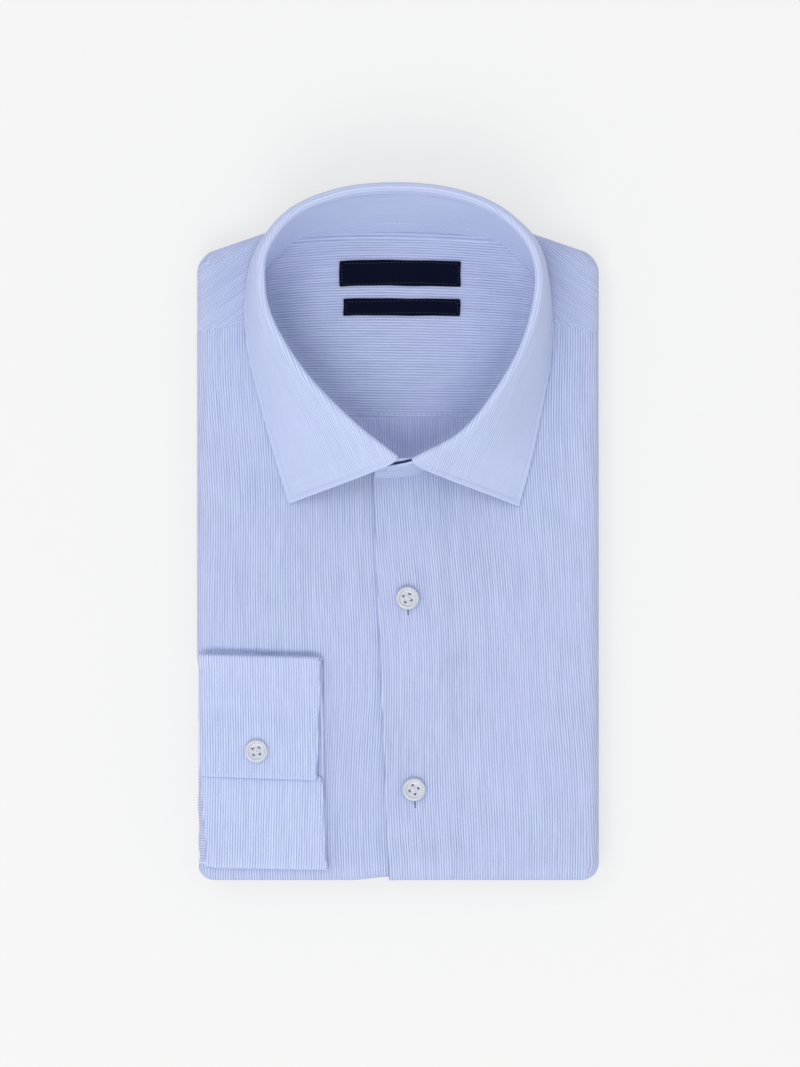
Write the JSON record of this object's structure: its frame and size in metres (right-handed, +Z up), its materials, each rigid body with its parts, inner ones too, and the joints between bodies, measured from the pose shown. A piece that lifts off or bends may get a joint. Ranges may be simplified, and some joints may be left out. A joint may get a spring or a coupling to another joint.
{
  "type": "folded long sleeve dress shirt",
  "caption": "Men's long sleeve dress shirt in fine stripes, folded flat for a shelf, with a standing collar and a cuff laid on the front.",
  "frame": {"origin": "middle of the footprint, on the surface that the shirt lies on", "axes": "+Y up the shirt towards its collar, +Z up from the surface, +X towards the wearer's left front, which is on the right as seen"},
  "size_m": [0.201, 0.3483, 0.0548],
  "materials": {
    "shirting": "fine light blue stripe, smooth poplin with a faint sheen",
    "collar_cloth": "fine light blue stripe, fused and pressed smooth",
    "label_cloth": "navy satin weave",
    "button": "pearly white, polished"
  },
  "bodies": {
    "root": {"folded_core": "shirting", "front_right": "shirting", "front_left": "shirting", "yoke": "shirting", "back": "shirting", "collar_stand": "collar_cloth", "collar_leaf": "collar_cloth", "cuff": "shirting", "sleeve": "shirting", "label_upper": "label_cloth", "label_lower": "label_cloth", "button_front_1": "button", "button_front_2": "button", "button_cuff": "button"}
  },
  "joints": []
}
